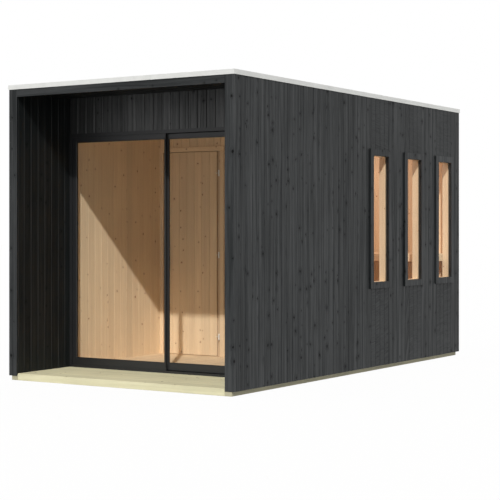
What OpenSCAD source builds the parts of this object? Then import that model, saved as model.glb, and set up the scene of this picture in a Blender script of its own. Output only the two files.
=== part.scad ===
// Garden sauna house: a flat-roofed timber cabin with an open porch, a glazed
// sliding front, a changing room, a sauna room and three fixed side windows.
// Millimetres, +Z up, front towards -Y, origin on the ground under the middle.

/* [House] */
// Width over the outer cladding
house_w = 2224; // [1900:2:2600]
// Length from the front boards to the rear cladding
house_l = 4094; // [3700:2:5000]
// Height of the wall tops, where the roof starts
wall_top = 2400; // [2300:5:2600]
// Depth of the open porch, from the front boards to the sliding front
porch_d = 674; // [500:2:900]
// Distance from the front to the changing room side of the partition
partition_y = 2006; // [1800:2:2300]

/* [Walls] */
// Thickness of the outer board cladding with its battens
clad_t = 26; // [18:1:40]
// Thickness of the load-bearing wall core
core_t = 44; // [34:1:90]
// Thickness of the inner board lining
lining_t = 15; // [12:1:22]
// Thickness of the partition between the two rooms
partition_t = 85; // [60:1:120]
// Height of the lower edge of the outer cladding
clad_z = 36; // [20:1:40]

/* [Front] */
// Thickness of the flat boards round the porch mouth
front_board_t = 20; // [15:1:30]
// Height of the board over the porch mouth
header_h = 62; // [50:1:90]
// Thickness of the porch ceiling
soffit_t = 22; // [12:1:30]

/* [Base and floor] */
// Height of the ground beams
beam_h = 45; // [40:1:60]
// Width of the side ground beams
beam_w = 64; // [45:1:80]
// Width of the cross beams under the floor
cross_w = 45; // [36:1:70]
// Set-back of the front beam ends behind the front boards
beam_set = 6; // [4:1:12]
// Set-back of the rear cross beam behind the rear cladding
base_set = 26; // [26:1:90]
// Height of the porch deck surface
deck_z = 57; // [52:1:60]
// Thickness of the deck boards
deck_t = 28; // [22:1:34]
// Gap between two deck boards
deck_gap = 5; // [3:1:8]
// Number of deck boards behind the front one
deck_count = 5; // [4:1:7]
// Height of the finished floor in both rooms
floor_z = 72; // [68:1:90]
// Height of the ceiling boards' lower face
ceiling_z = 2265; // [2150:5:2280]

/* [Roof] */
// Thickness of the roof deck over the walls
roof_t = 34; // [24:1:60]
// Height of the pale edge trim
edge_h = 38; // [36:1:80]
// How far the edge trim stands out past the walls
edge_out = 6; // [4:1:14]
// Width of the trim's flange on top of the roof
edge_lip = 60; // [30:1:100]

/* [Sliding front] */
// Height of the top of the door frame
door_top = 2070; // [2000:5:2150]
// Face width of the door frame members
frame_w = 30; // [24:1:45]
// Depth of the door frame with its tracks
frame_d = 80; // [65:1:110]
// Thickness of the front wall over the door
front_wall_d = 120; // [110:1:150]
// Face width of the outer sash stiles
stile_w = 41; // [36:1:60]
// Face width of the sliding sash's meeting stile
meet_w = 26; // [22:1:46]
// Face width of the fixed sash's meeting stile
meet_fixed_w = 14; // [13:1:46]
// Height of the sash bottom rails
rail_low = 60; // [45:1:90]
// Height of the sash top rails
rail_top = 46; // [36:1:70]
// Thickness of the sashes
sash_t = 18; // [18:1:42]
// Thickness of the sealed glass units
pane_t = 10; // [8:1:12]
// Distance from the centre line to the middle of the meeting stiles, towards -X
meeting_off = 6; // [0:0.5:30]
// Length of the pull handles
pull_l = 240; // [150:10:400]

/* [Inner door] */
// Width of the inner door leaf
leaf_w = 590; // [540:5:690]
// Height of the top of the leaf
leaf_top = 1965; // [1850:5:2000]
// Thickness of the leaf
leaf_t = 40; // [30:1:45]
// Running gap round the leaf
leaf_gap = 5; // [5:1:8]
// Width of the frame beside the leaf, on the wall side
jamb_w = 48.5; // [40:0.5:60]
// Face width of the casing boards
casing_w = 45; // [35:1:60]
// Thickness of the casing boards
casing_t = 12; // [8:1:18]
// Length of one hinge
hinge_l = 56; // [40:2:90]

/* [Side windows] */
// Number of windows in the right wall
window_count = 3; // [1:1:3]
// Distance from the front to the first window casing
window_first = 2173; // [2150:1:2300]
// Distance from one window to the next
window_pitch = 679; // [520:1:690]
// Width over the casing
window_w = 404; // [340:1:460]
// Height of the lower edge of the casing
window_z0 = 724; // [600:1:900]
// Height of the upper edge of the casing
window_z1 = 1952; // [1700:1:2100]
// Face width of the casing bars
window_bar = 57; // [45:1:65]
// How far the casing stands out from the cladding
window_out = 15; // [8:1:20]
// Thickness of the window panes
window_pane_t = 12; // [6:1:16]

/* [Bench] */
// Depth of the bench across the rear wall
bench_d = 560; // [450:10:650]
// Height of the bench top
bench_z = 1010; // [900:5:1050]
// Height of the bench front rail
bench_rail_h = 75; // [60:5:120]
// Thickness of the bench timbers
bench_t = 28; // [22:1:35]
// Number of bench slats
bench_slats = 5; // [4:1:6]

/* [Hidden] */

$fn = 48;

// How far a cutting shape reaches past what it cuts
cut = 1;
// How far joined blocks of one piece run into each other
lap = 1;

// House planes
x_out = house_w / 2;
x_core = x_out - clad_t;
x_lin = x_core - core_t;
x_in = x_lin - lining_t;
y_front = -house_l / 2;
y_back = house_l / 2;
y_boards = y_front + front_board_t;
y_beam = y_front + beam_set;
y_core_back = y_back - clad_t;
y_base_back = y_back - base_set;
y_rear_beam = y_base_back - cross_w;
y_lin_back = y_core_back - core_t;
y_in_back = y_lin_back - lining_t;
y_door = y_front + porch_d;
y_frame_back = y_door + frame_d;
y_room = y_door + front_wall_d;
y_part = y_front + partition_y;
y_part_back = y_part + partition_t;
soffit_z = wall_top - soffit_t;
ceiling_top = ceiling_z + lining_t;

// Base
x_beam_in = x_core - beam_w;
deck_start = y_beam + deck_t;
deck_end = y_door - deck_gap;
deck_pitch = (deck_end + deck_gap - deck_start) / deck_count;
joist_w = 60;
joist_count = 3;

// Sliding front, from the outer face inwards
lining_lap = 13;
y_lining = y_door + lining_lap;
clad_over_set = 5;
sash_set = 6;
track_gap = 5;
fin_gap = 7;
fin_t = 8;
fin_h = 20;
fin_side = 12;
slide_gap = 5;
frame_z0 = beam_h;
sill_z = frame_z0 + frame_w;
head_z = door_top - frame_w;
x_jamb = x_in - frame_w;
y_fixed = y_door + sash_set;
y_slide = y_fixed + sash_t + track_gap;
y_fin = y_slide + sash_t + fin_gap;
meet_x0 = -meeting_off - meet_w / 2;
meet_x1 = meet_x0 + meet_w;
meet_fixed_x = meet_x0 + meet_fixed_w;
glaze_z0 = sill_z + slide_gap + rail_low;
glaze_z1 = head_z - rail_top;
glass_in = 10;

// Pull handles
pull_w = 20;
pull_t = 12;
pull_off = 28;
pull_post_r = 6;
pull_post_in = 25;
pull_z = 1050;

// Inner door
leaf_x0 = -x_in + jamb_w + leaf_gap;
leaf_x1 = leaf_x0 + leaf_w;
leaf_z0 = floor_z + leaf_gap + lap;
jamb_x0 = leaf_x1 + leaf_gap;
hinge_jamb_w = 38.5;
jamb_x1 = jamb_x0 + hinge_jamb_w;
jamb_set = 8;
casing_lap = 5;
wall_casing_w = 39;
inner_head_z = leaf_top + leaf_gap;
opening_top = inner_head_z + casing_w;
part_x0 = jamb_x1;
stop_t = 20;
stop_w = 15;
hinge_in = 24;
hinge_out = 9;
hinge_x = jamb_x0 + hinge_in;
hinge_y = y_part - hinge_out;
hinge_r = 7;
hinge_pin_r = 3;
hinge_bore_r = 3.3;
hinge_zs = [254, 1010, 1765];
knuckle_l = 18;
knuckle_gap = 0.5;
wing_t = 3;
wing_l = 37;
grip_r = 14;
grip_l = 260;
grip_off = 34;
grip_in = 50;
grip_x = leaf_x0 + grip_in;
grip_post_r = 9;
grip_post_in = 40;
grip_z = 1000;

// Windows
casing_cover = 20;
window_hole_in = window_bar - casing_cover;
window_hole_w = window_w - 2 * window_hole_in;
window_clear_w = window_w - 2 * window_bar;
window_h = window_z1 - window_z0;
window_x_pane = x_core;
function window_y(i) = y_front + window_first + i * window_pitch + window_w / 2;
window_zc = (window_z0 + window_z1) / 2;

// Bench
bench_y = y_in_back - bench_d;
bench_gap = 3;
slat_gap = 14;
slat_w = (bench_d - bench_t - slat_gap * bench_slats) / bench_slats;
bearer_w = 45;
leg_w = 60;

// A box from its lowest corner to its highest corner
module block(a, b) {
    translate(a) cube([b[0] - a[0], b[1] - a[1], b[2] - a[2]]);
}

// The same box on both sides of the house
module both_sides(a, b) {
    block(a, b);
    mirror([1, 0, 0]) block(a, b);
}

// A plate in a side wall, from x0 to x1, as wide and high as given, at each window
module window_blocks(x0, x1, w, h, from = 0, to = window_count - 1) {
    for (i = [from : to])
        block([x0, window_y(i) - w / 2, window_zc - h / 2], [x1, window_y(i) + w / 2, window_zc + h / 2]);
}

// A rectangular frame standing in the XZ plane
module sash_ring(x0, x1, z0, z1, y0, t, left, right, low, top) {
    difference() {
        block([x0, y0, z0], [x1, y0 + t, z1]);
        block([x0 + left, y0 - cut, z0 + low], [x1 - right, y0 + t + cut, z1 - top]);
        // groove that holds the glass
        block([x0 + left - glass_in, y0 + (t - pane_t) / 2, z0 + low - glass_in],
            [x1 - right + glass_in, y0 + (t + pane_t) / 2, z1 - top + glass_in]);
    }
}

// ---- base and floors ----
// The front ends are rebated under the end boards
module side_beams() {
    color("darkkhaki") {
        both_sides([x_beam_in, y_beam, 0], [x_core, y_boards, clad_z]);
        both_sides([x_beam_in, y_boards, 0], [x_core, y_rear_beam, beam_h]);
    }
}

// The rear beam runs over the ends of the side beams
module cross_beams() {
    beam_ys = [y_door, (y_room + y_part) / 2, -cross_w / 2, (y_part + y_in_back) / 2];
    color("darkkhaki") {
        for (y = beam_ys) block([-x_beam_in, y, 0], [x_beam_in, y + cross_w, beam_h]);
        block([-x_core, y_rear_beam, 0], [x_core, y_base_back, beam_h]);
    }
}

module deck_joists() {
    color("darkkhaki") for (i = [0 : joist_count - 1]) {
        x = (i - (joist_count - 1) / 2) * (x_beam_in - joist_w);
        block([x - joist_w / 2, deck_start, 0], [x + joist_w / 2, y_door, deck_z - deck_t]);
    }
}

module deck_front_board() {
    color("khaki") block([-x_beam_in, y_beam, 0], [x_beam_in, deck_start, deck_z]);
}

module deck_boards() {
    color("khaki") for (i = [0 : deck_count - 1]) {
        y = deck_start + i * deck_pitch;
        block([-x_beam_in, y, deck_z - deck_t], [x_beam_in, y + deck_pitch - deck_gap, deck_z]);
    }
}

module room_floor() {
    color("tan") block([-x_in, y_frame_back, beam_h], [x_in, y_in_back, floor_z]);
}

// ---- walls ----
module left_wall() {
    color("burlywood") block([-x_core, y_boards, beam_h], [-x_lin, y_core_back, wall_top]);
}

module right_wall() {
    color("burlywood") difference() {
        block([x_lin, y_boards, beam_h], [x_core, y_core_back, wall_top]);
        window_blocks(x_lin - cut, x_core + cut, window_hole_w, window_h - 2 * window_hole_in);
    }
}

module rear_wall() {
    color("burlywood") block([-x_lin, y_lin_back, beam_h], [x_lin, y_core_back, wall_top]);
}

module left_cladding() {
    color("dimgray") block([-x_out, y_boards, clad_z], [-x_core, y_back, wall_top]);
}

module right_cladding() {
    color("dimgray") difference() {
        block([x_core, y_boards, clad_z], [x_out, y_back, wall_top]);
        window_blocks(x_core - cut, x_out + cut, window_hole_w, window_h - 2 * window_hole_in);
    }
}

module rear_cladding() {
    color("dimgray") block([-x_core, y_core_back, clad_z], [x_core, y_back, wall_top]);
}

module porch_linings() {
    color("dimgray") both_sides([x_in, y_boards, beam_h], [x_lin, y_lining, soffit_z]);
}

module end_boards() {
    color("dimgray") both_sides([x_in, y_front, clad_z], [x_out, y_boards, wall_top]);
}

module header_board() {
    color("dimgray") block([-x_in, y_front, wall_top - header_h], [x_in, y_boards, wall_top]);
}

module soffit() {
    color("dimgray") block([-x_in, y_boards, soffit_z], [x_in, y_door + clad_over_set, wall_top]);
}

// ---- wall over the sliding front ----
module over_door_cladding() {
    y = y_door + clad_over_set;
    color("dimgray") block([-x_in, y, door_top], [x_in, y + clad_t, soffit_z]);
}

module door_beam() {
    y = y_door + clad_over_set;
    color("burlywood") union() {
        block([-x_in, y + clad_t, door_top], [x_in, y_room - lining_t, wall_top]);
        block([-x_in, y, soffit_z], [x_in, y + clad_t, wall_top]);
    }
}

module over_door_lining() {
    color("wheat") block([-x_in, y_room - lining_t, door_top], [x_in, y_room, ceiling_z]);
}

// ---- sliding front ----
module door_frame() {
    color("black") {
        difference() {
            block([-x_in, y_door, frame_z0], [x_in, y_frame_back, door_top]);
            block([-x_jamb, y_door - cut, sill_z], [x_jamb, y_frame_back + cut, head_z]);
        }
        // guide fins behind the sliding sash
        block([-x_jamb, y_fin, sill_z], [x_jamb, y_fin + fin_t, sill_z + fin_h]);
        block([-x_jamb, y_fin, head_z - fin_h], [x_jamb, y_fin + fin_t, head_z]);
        block([x_jamb - fin_side, y_fin, sill_z], [x_jamb, y_fin + fin_t, head_z]);
    }
}

module fixed_sash() {
    color("black") sash_ring(-x_jamb, meet_fixed_x, sill_z, head_z, y_fixed, sash_t,
        stile_w, meet_fixed_w, rail_low + slide_gap, rail_top);
}

module fixed_glass() {
    color("lightblue", 0.4) block(
        [-x_jamb + stile_w - glass_in, y_fixed + (sash_t - pane_t) / 2, glaze_z0 - glass_in],
        [meet_x0 + glass_in, y_fixed + (sash_t + pane_t) / 2, glaze_z1 + glass_in]);
}

module sliding_sash() {
    color("black") sash_ring(meet_x0, x_jamb - slide_gap, sill_z + slide_gap, head_z - slide_gap,
        y_slide, sash_t, meet_w, stile_w, rail_low, rail_top - slide_gap);
}

module sliding_glass() {
    color("lightblue", 0.4) block(
        [meet_x1 - glass_in, y_slide + (sash_t - pane_t) / 2, glaze_z0 - glass_in],
        [x_jamb - slide_gap - stile_w + glass_in, y_slide + (sash_t + pane_t) / 2, glaze_z1 + glass_in]);
}

// One pull handle: two posts and a bar, standing off along the sign of side
module pull_handle(y_face, side) {
    x = x_jamb - slide_gap - stile_w / 2;
    y0 = min(y_face, y_face + side * pull_off);
    bar_y = side > 0 ? y_face + pull_off : y_face - pull_off - pull_t;
    for (z = [pull_z - pull_l / 2 + pull_post_in, pull_z + pull_l / 2 - pull_post_in])
        translate([x, y0, z]) rotate([-90, 0, 0]) cylinder(r = pull_post_r, h = pull_off);
    block([x - pull_w / 2, bar_y, pull_z - pull_l / 2], [x + pull_w / 2, bar_y + pull_t, pull_z + pull_l / 2]);
}

module sliding_handles() {
    color("black") {
        pull_handle(y_slide, -1);
        pull_handle(y_slide + sash_t, 1);
    }
}

// ---- partition and inner door ----
module partition() {
    color("wheat") block([part_x0, y_part, floor_z], [x_in, y_part_back, ceiling_z]);
}

module partition_over_door() {
    color("wheat") block([-x_in, y_part, opening_top], [part_x0, y_part_back, ceiling_z]);
}

module inner_door_frame() {
    color("wheat") {
        // wall-side jamb, hinge-side jamb and head
        block([-x_in, y_part + jamb_set, floor_z], [-x_in + jamb_w, y_part_back, opening_top]);
        block([jamb_x0, y_part + jamb_set, floor_z], [jamb_x1, y_part_back, opening_top]);
        block([-x_in, y_part + jamb_set, inner_head_z], [jamb_x1, y_part_back, opening_top]);
        // stops behind the leaf
        stop_y = y_part + leaf_t + leaf_gap;
        block([-x_in + jamb_w - lap, stop_y, floor_z],
            [-x_in + jamb_w + stop_w, stop_y + stop_t, opening_top - lap]);
        block([jamb_x0 - stop_w, stop_y, floor_z], [jamb_x0 + lap, stop_y + stop_t, opening_top - lap]);
        block([-x_in + lap, stop_y, inner_head_z - stop_w],
            [jamb_x1 - lap, stop_y + stop_t, opening_top - lap]);
        // casing boards on the changing room side
        casing_x = jamb_x1 - casing_lap;
        block([-x_in, y_part - casing_t, floor_z], [-x_in + wall_casing_w, y_part + jamb_set, opening_top]);
        block([casing_x, y_part - casing_t, floor_z], [jamb_x1, y_part + jamb_set, opening_top]);
        block([casing_x, y_part - casing_t, floor_z], [casing_x + casing_w, y_part, opening_top]);
        block([-x_in, y_part - casing_t, inner_head_z], [jamb_x1, y_part + jamb_set, opening_top]);
    }
}

// Fixed knuckles, pins and plates of the hinges
module inner_door_hinges() {
    color("silver") for (z = hinge_zs) {
        translate([hinge_x, hinge_y, z - hinge_l / 2]) cylinder(r = hinge_r, h = knuckle_l);
        translate([hinge_x, hinge_y, z + hinge_l / 2 - knuckle_l]) cylinder(r = hinge_r, h = knuckle_l);
        translate([hinge_x, hinge_y, z - hinge_l / 2]) cylinder(r = hinge_pin_r, h = hinge_l);
        for (z0 = [z - hinge_l / 2, z + hinge_l / 2 - knuckle_l])
            block([hinge_x, hinge_y - wing_t / 2, z0], [jamb_x1 - casing_lap, hinge_y + wing_t / 2, z0 + knuckle_l]);
    }
}

// Moving knuckles and plates of the hinges
module inner_hinge_wings() {
    h = hinge_l - 2 * knuckle_l - 2 * knuckle_gap;
    color("silver") for (z = hinge_zs) difference() {
        union() {
            translate([hinge_x, hinge_y, z - h / 2]) cylinder(r = hinge_r, h = h);
            block([hinge_x - wing_l, y_part - wing_t, z - h / 2], [hinge_x - lap, y_part, z + h / 2]);
        }
        translate([hinge_x, hinge_y, z - h / 2 - cut]) cylinder(r = hinge_bore_r, h = h + 2 * cut);
    }
}

module inner_door_leaf() {
    color("wheat") block([leaf_x0, y_part, leaf_z0], [leaf_x1, y_part + leaf_t, leaf_top]);
}

// Round wooden pulls on both faces of the leaf
module inner_door_handles() {
    color("sienna") for (side = [-1, 1]) {
        face = side < 0 ? y_part : y_part + leaf_t;
        translate([grip_x, face + side * grip_off, grip_z - grip_l / 2]) cylinder(r = grip_r, h = grip_l);
        for (z = [grip_z - grip_l / 2 + grip_post_in, grip_z + grip_l / 2 - grip_post_in])
            translate([grip_x, min(face, face + side * grip_off), z])
                rotate([-90, 0, 0]) cylinder(r = grip_post_r, h = grip_off);
    }
}

// ---- inner linings ----
module left_lining() {
    color("wheat") block([-x_lin, y_lining, beam_h], [-x_in, y_lin_back, ceiling_top]);
}

module right_lining() {
    color("wheat") difference() {
        block([x_in, y_lining, beam_h], [x_lin, y_lin_back, ceiling_top]);
        window_blocks(x_in - cut, x_lin + cut, window_hole_w, window_h - 2 * window_hole_in);
    }
}

module rear_lining() {
    color("wheat") block([-x_in, y_in_back, beam_h], [x_in, y_lin_back, ceiling_top]);
}

module ceiling() {
    color("wheat") block([-x_in, y_room - lining_t, ceiling_z], [x_in, y_in_back, ceiling_top]);
}

// ---- windows ----
// One window: the casing on the cladding and the frame in the wall
module window_frame(i) {
    color("black") difference() {
        union() {
            window_blocks(x_out, x_out + window_out, window_w, window_h, i, i);
            window_blocks(x_core + window_pane_t, x_out, window_hole_w,
                window_h - 2 * window_hole_in, i, i);
        }
        window_blocks(x_core, x_out + window_out + cut, window_clear_w,
            window_h - 2 * window_bar, i, i);
    }
}

module window_panes() {
    color("lightblue", 0.4) window_blocks(window_x_pane, window_x_pane + window_pane_t,
        window_hole_w, window_h - 2 * window_hole_in);
}

module window_linings() {
    color("wheat") difference() {
        window_blocks(x_in, x_core, window_hole_w, window_h - 2 * window_hole_in);
        window_blocks(x_in - cut, x_core + cut, window_clear_w, window_h - 2 * window_bar);
    }
}

// ---- bench ----
module bench() {
    x = x_in - bench_gap;
    color("wheat") {
        // front rail
        block([-x, bench_y, bench_z - bench_rail_h], [x, bench_y + bench_t, bench_z]);
        // slats, carried by four bearers
        for (i = [0 : bench_slats - 1]) {
            y = bench_y + bench_t + slat_gap + i * (slat_w + slat_gap);
            block([-x, y, bench_z - bench_t], [x, y + slat_w, bench_z]);
        }
        for (s = [-x, -x / 3 - bearer_w / 2, x / 3 - bearer_w / 2, x - bearer_w])
            block([s, bench_y + bench_t - lap, bench_z - bench_rail_h],
                [s + bearer_w, y_in_back, bench_z - bench_t + lap]);
        // legs under the front rail
        for (s = [-x, x - leg_w])
            block([s, bench_y + lap, floor_z],
                [s + leg_w, bench_y + bench_t + bearer_w, bench_z - bench_t - lap]);
    }
}

// ---- roof ----
module roof_slab() {
    color("gray") union() {
        block([-x_out, y_front, wall_top], [x_out, y_back, wall_top + roof_t]);
        block([-x_lin, y_room - lining_t, ceiling_top], [x_lin, y_lin_back, wall_top + lap]);
    }
}

module roof_edge() {
    lip_t = edge_h - roof_t;
    color("whitesmoke") difference() {
        block([-x_out - edge_out, y_front - edge_out, wall_top],
            [x_out + edge_out, y_back + edge_out, wall_top + edge_h]);
        block([-x_out, y_front, wall_top - cut], [x_out, y_back, wall_top + edge_h - lip_t]);
        block([-x_out + edge_lip, y_front + edge_lip, wall_top],
            [x_out - edge_lip, y_back - edge_lip, wall_top + edge_h + cut]);
    }
}

side_beams();
cross_beams();
deck_joists();
deck_front_board();
deck_boards();
room_floor();
left_wall();
right_wall();
rear_wall();
left_cladding();
right_cladding();
rear_cladding();
porch_linings();
end_boards();
header_board();
soffit();
door_beam();
over_door_cladding();
over_door_lining();
door_frame();
fixed_sash();
fixed_glass();
sliding_sash();
sliding_glass();
sliding_handles();
partition();
partition_over_door();
inner_door_frame();
inner_door_hinges();
inner_door_leaf();
inner_hinge_wings();
inner_door_handles();
left_lining();
right_lining();
rear_lining();
ceiling();
window_frame(0);  // window_frame_1
window_frame(1);  // window_frame_2
window_frame(2);  // window_frame_3
window_panes();
window_linings();
bench();
roof_slab();
roof_edge();
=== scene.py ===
import math

import bmesh
import bpy
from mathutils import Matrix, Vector


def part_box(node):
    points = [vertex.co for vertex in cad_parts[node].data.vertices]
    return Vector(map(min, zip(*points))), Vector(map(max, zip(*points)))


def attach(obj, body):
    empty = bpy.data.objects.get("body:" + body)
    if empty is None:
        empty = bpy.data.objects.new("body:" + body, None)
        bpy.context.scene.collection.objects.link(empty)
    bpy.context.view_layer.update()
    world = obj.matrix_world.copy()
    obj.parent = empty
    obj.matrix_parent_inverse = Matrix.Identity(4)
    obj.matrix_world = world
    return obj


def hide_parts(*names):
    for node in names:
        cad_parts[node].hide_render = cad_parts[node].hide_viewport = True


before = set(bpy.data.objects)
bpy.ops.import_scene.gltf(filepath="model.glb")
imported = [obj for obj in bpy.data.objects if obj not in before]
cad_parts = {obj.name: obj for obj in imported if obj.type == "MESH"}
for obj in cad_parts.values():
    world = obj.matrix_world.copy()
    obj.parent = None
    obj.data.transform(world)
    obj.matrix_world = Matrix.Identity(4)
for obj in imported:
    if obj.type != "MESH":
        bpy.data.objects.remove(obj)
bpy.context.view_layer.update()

MM = 0.001
AXES = {"x": 0, "y": 1, "z": 2}

# ---- sizes of what is added to the frame ----
CLAD_PITCH = 84.6 * MM
CLAD_FIRST = 69.6 * MM
LINING_PITCH = 92 * MM
LINING_FIRST = 60 * MM
FLOOR_PITCH = 113 * MM
FLOOR_CHAMFER = 1.2 * MM
LEAF_PITCH = 90.5 * MM
BOARD_GAP = 1.2 * MM
CLAD_CHAMFER = 5.5 * MM
PORCH_PITCH = 86.8 * MM
PORCH_CHAMFER = 1.9 * MM
LINING_CHAMFER = 1.2 * MM
LEAF_CHAMFER = 2.2 * MM
OVER_DOOR_CHAMFER = 3.5 * MM
BARREL_RADIUS = 7 * MM
BARREL_EASE = 1 * MM
KNUCKLE = 18 * MM
PIN_RADIUS = 3 * MM
PIN_EASE = 0.2 * MM
PIN_SHORT = 0.4 * MM
FIXED_ARM_RADIUS = 2.5 * MM
FIXED_ARM_EASE = 0.4 * MM
MOVING_ARM_RADIUS = 3 * MM
MOVING_ARM_EASE = 0.5 * MM
CASING_COVER = 20 * MM
TRIM_LIP = 60 * MM
MEETING_REACH = 30 * MM
BOARD_RELIEF = 0.6 * MM
PARTITION_SKIN = 15 * MM
FELT_THICK = 1.6 * MM
FELT_LIFT = 1.4 * MM
FELT_EDGE = 0.6 * MM
FELT_LAP = 80 * MM
FELT_SHEETS = 3
SOFFIT_BOARDS = 24
CUTTER_REACH = 0.2
EDGE = 2 * MM

SUN_TRAVEL = Vector((-0.406, 0.673, -0.637))
SUN_STRENGTH = 2.6
SUN_ANGLE = math.radians(1.0)
SUN_COLOUR = (1.0, 0.985, 0.96)
SKY_LEVEL = 0.30
ROOM_LAMP_POWER = 15.0
ROOM_LAMP_SIZE = 1.0
ROOM_LAMP_DROP = 0.03
ROOM_LAMP_COLOUR = (1.0, 0.83, 0.75)
FLOOR_REACH = 60.0

CAMERA_PLACE = (6.692, -10.622, 1.241)
CAMERA_TURN = math.radians(32.394)
CAMERA_LENS = 99.27
CAMERA_SHIFT_Y = -0.0403


# ---- node helpers ----
class Graph:
    """Adds nodes to a tree and wires them: an input given as a socket is linked, and any other is set."""

    def __init__(self, tree):
        self.tree = tree

    def add(self, kind, settings=None, inputs=None):
        node = self.tree.nodes.new(kind)
        for key, value in (settings or {}).items():
            setattr(node, key, value)
        for key, value in (inputs or {}).items():
            self.feed(node.inputs[key], value)
        return node

    def feed(self, socket, value):
        if isinstance(value, bpy.types.NodeSocket):
            self.tree.links.new(value, socket)
        else:
            socket.default_value = value

    def math(self, operation, a, b=0.0, c=0.0):
        return self.add("ShaderNodeMath", {"operation": operation}, {0: a, 1: b, 2: c}).outputs[0]

    def vector(self, operation, a, b=(0, 0, 0)):
        node = self.add("ShaderNodeVectorMath", {"operation": operation})
        self.feed(node.inputs[0], a)
        self.feed(node.inputs["Scale"] if operation == "SCALE" else node.inputs[1], b)
        return node.outputs[0]

    def join(self, x, y, z):
        return self.add("ShaderNodeCombineXYZ", None, {"X": x, "Y": y, "Z": z}).outputs[0]

    def split(self, vector):
        return self.add("ShaderNodeSeparateXYZ", None, {0: vector}).outputs

    def noise(self, vector, scale, detail=2.0, rough=0.5):
        values = {"Vector": vector, "Scale": scale, "Detail": detail, "Roughness": rough}
        return self.add("ShaderNodeTexNoise", None, values).outputs[0]

    def remap(self, value, low, high, to_low=0.0, to_high=1.0, smooth=False):
        kind = "SMOOTHSTEP" if smooth else "LINEAR"
        values = {"Value": value, "From Min": low, "From Max": high, "To Min": to_low, "To Max": to_high}
        return self.add("ShaderNodeMapRange", {"interpolation_type": kind}, values).outputs[0]

    def mix(self, factor, a, b, blend="MIX"):
        node = self.add("ShaderNodeMix", {"data_type": "RGBA", "blend_type": blend})
        self.feed(node.inputs[0], factor)
        self.feed(node.inputs[6], a)
        self.feed(node.inputs[7], b)
        return node.outputs[2]


def new_group(name, inputs, outputs):
    """A shader node group with its sockets made, its graph, and its input and output nodes."""
    tree = bpy.data.node_groups.new(name, "ShaderNodeTree")
    for label, kind, value in inputs:
        socket = tree.interface.new_socket(label, in_out="INPUT", socket_type="NodeSocket" + kind)
        if value is not None:
            socket.default_value = value
    for label, kind in outputs:
        tree.interface.new_socket(label, in_out="OUTPUT", socket_type="NodeSocket" + kind)
    graph = Graph(tree)
    return tree, graph, graph.add("NodeGroupInput").outputs, graph.add("NodeGroupOutput")


# ---- shader groups ----
def timber_group():
    """Softwood along Z: fine fibre, broad rings, knots with the grain bent round them, and a height."""
    tree, g, given, out = new_group(
        "Timber",
        [("Vector", "Vector", None), ("Tone", "Float", 0.5), ("Knot size", "Float", 0.008),
         ("Knot share", "Float", 0.4)],
        [("Fibre", "Float"), ("Ring", "Float"), ("Knot", "Float"), ("Halo", "Float"), ("Height", "Float")],
    )
    tone = given["Tone"]
    shift = g.join(*(g.math("MULTIPLY", tone, step) for step in (7.3, 3.1, 19.7)))
    x, y, z = g.split(g.vector("ADD", given["Vector"], shift))
    across = g.math("ADD", x, y)
    cells_per_metre = 8.5
    flat = g.join(g.math("MULTIPLY", across, cells_per_metre), g.math("MULTIPLY", z, cells_per_metre), 0.0)
    cell = g.add("ShaderNodeTexVoronoi", {"voronoi_dimensions": "2D", "feature": "F1"},
                 {"Vector": flat, "Scale": 1.0, "Randomness": 0.95})
    chance, spread, _ = g.split(cell.outputs["Color"])
    there = g.math("LESS_THAN", chance, given["Knot share"])
    radius = g.math("MULTIPLY", given["Knot size"], g.math("ADD", spread, 0.45))
    distance = g.math("DIVIDE", cell.outputs["Distance"], cells_per_metre)
    ragged = g.noise(g.join(g.math("MULTIPLY", across, 90.0), g.math("MULTIPLY", z, 60.0), 0.0), 1.0, 2.0)
    reach = g.math("ADD", g.math("DIVIDE", distance, radius), g.remap(ragged, 0.3, 0.7, -0.45, 0.45))
    knot = g.math("MULTIPLY", there, g.remap(reach, 1.05, 0.7, smooth=True))
    halo = g.math("MULTIPLY", there, g.remap(reach, 4.0, 0.9, smooth=True))
    centre_x = g.split(cell.outputs["Position"])[0]
    off = g.math("SUBTRACT", across, g.math("DIVIDE", centre_x, cells_per_metre))
    bent = g.math("SUBTRACT", across, g.math("MULTIPLY", g.math("MULTIPLY", off, halo), 0.7))
    wander = g.noise(g.join(across, 0.0, g.math("MULTIPLY", z, 0.6)), 2.2, 1.0)
    bent = g.math("ADD", bent, g.math("MULTIPLY", wander, 0.05))
    narrow = g.noise(g.join(g.math("MULTIPLY", bent, 120.0), g.math("MULTIPLY", z, 1.3), 0.0), 1.0, 2.0, 0.5)
    broad = g.noise(g.join(g.math("MULTIPLY", bent, 42.0), g.math("MULTIPLY", z, 0.9), 0.0), 1.0, 1.0, 0.5)
    ring = g.math("ADD", g.math("MULTIPLY", narrow, 0.5), g.math("MULTIPLY", broad, 0.5))
    fibre = g.noise(g.join(g.math("MULTIPLY", bent, 620.0), g.math("MULTIPLY", z, 9.0), 0.0), 1.0, 2.0, 0.6)
    rough = g.math("ADD", g.math("MULTIPLY", ring, 0.6), g.math("MULTIPLY", fibre, 0.4))
    g.feed(out.inputs["Fibre"], fibre)
    g.feed(out.inputs["Ring"], ring)
    g.feed(out.inputs["Knot"], knot)
    g.feed(out.inputs["Halo"], halo)
    g.feed(out.inputs["Height"], g.math("SUBTRACT", rough, g.math("MULTIPLY", knot, 0.5)))
    return tree


def grime_group():
    """A slow, cloudy mask for uneven stain, weather and dust, 0 to 1."""
    tree, g, given, out = new_group(
        "Uneven", [("Vector", "Vector", None), ("Scale", "Float", 2.0)], [("Mask", "Float")])
    coarse = g.noise(given["Vector"], given["Scale"], 4.0, 0.6)
    g.feed(out.inputs["Mask"], g.remap(coarse, 0.3, 0.7))
    return tree


TIMBER = timber_group()
UNEVEN = grime_group()


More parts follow.
